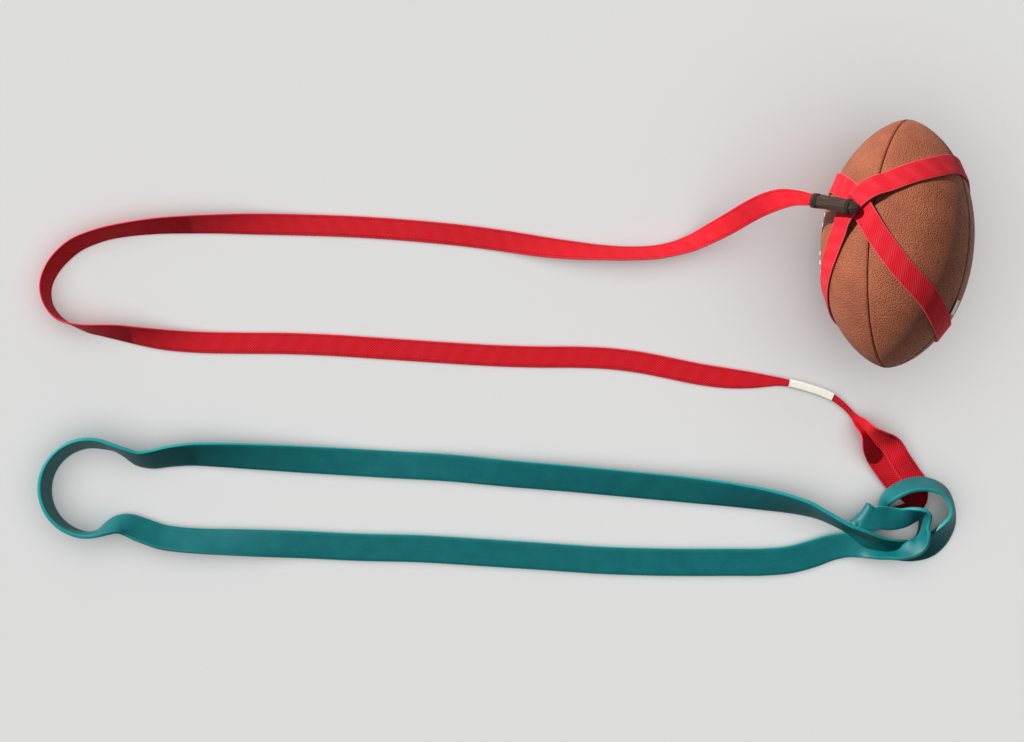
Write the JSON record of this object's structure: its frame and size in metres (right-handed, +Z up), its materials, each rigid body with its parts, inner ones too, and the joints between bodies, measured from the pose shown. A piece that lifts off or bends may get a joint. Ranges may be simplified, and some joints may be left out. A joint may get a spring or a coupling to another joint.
{
  "type": "resistance throwing trainer",
  "caption": "Laced ball held in a crossed webbing harness, tied by a long webbing tether to a stretchy flat loop band with an open anchor loop, for resisted shoulder and throwing exercise.",
  "frame": {"origin": "centre of the footprint on the floor, where the whole trainer lies laid out", "axes": "+X along the tether towards the ball, +Y along the ball towards its upper tip, +Z up from the floor"},
  "size_m": [1.0623, 0.5187, 0.1732],
  "materials": {
    "leather_pebbled": "pebbled",
    "lining_cloth": "woven",
    "bladder_rubber": "matt",
    "lace_white": "woven",
    "webbing_red": "twill webbing",
    "wrap_brown": "fibrous",
    "thread_dark": "wound thread",
    "label_white": "woven, plain",
    "latex_teal": "satin"
  },
  "bodies": {
    "ball": {"leather_panel_1": "leather_pebbled", "leather_panel_2": "leather_pebbled", "leather_panel_3": "leather_pebbled", "leather_panel_4": "leather_pebbled", "panel_lining_1": "lining_cloth", "panel_lining_2": "lining_cloth", "panel_lining_3": "lining_cloth", "panel_lining_4": "lining_cloth", "bladder": "bladder_rubber", "valve": "bladder_rubber", "lace_long": "lace_white", "lace_cross_1": "lace_white", "lace_cross_2": "lace_white", "lace_cross_3": "lace_white", "lace_cross_4": "lace_white", "lace_cross_5": "lace_white", "lace_cross_6": "lace_white", "lace_cross_7": "lace_white", "lace_cross_8": "lace_white", "harness_loop_upper": "webbing_red", "harness_loop_lower": "webbing_red", "harness_tag": "label_white", "keeper_sleeve": "wrap_brown", "keeper_whipping_ball": "thread_dark", "keeper_whipping_mouth": "thread_dark", "tether_root": "webbing_red"},
    "tether_upper_run": {"tether_upper": "webbing_red"},
    "tether_lower_run": {"tether_lower": "webbing_red", "tether_eye": "webbing_red", "tether_label": "label_white"},
    "band": {"band_leg_upper": "latex_teal", "band_hitch": "latex_teal", "band_leg_lower": "latex_teal"},
    "band_end": {"band_anchor_loop": "latex_teal"}
  },
  "joints": [
    {"name": "ball_swing", "type": "hinge", "parent": "ball", "child": "tether_upper_run", "pos_m": [0.34454, 0.1669, 0], "axis": [0, 0, 1], "range_deg": [-15, 15]},
    {"name": "tether_fold", "type": "hinge", "parent": "tether_upper_run", "child": "tether_lower_run", "pos_m": [-0.51, 0.04, 0], "axis": [0, 0, 1], "range_deg": [-90, 2]},
    {"name": "band_swing", "type": "hinge", "parent": "tether_lower_run", "child": "band", "pos_m": [0.442, -0.185, 0], "axis": [0, 0, 1], "range_deg": [-4, 30], "deforming": ["tether_eye"]},
    {"name": "band_stretch", "type": "slide", "parent": "band", "child": "band_end", "axis": [-1, 0, 0], "range_m": [0, 0.9], "stiffness_N_per_m": 200, "deforming": ["band_leg_upper", "band_leg_lower"]}
  ]
}
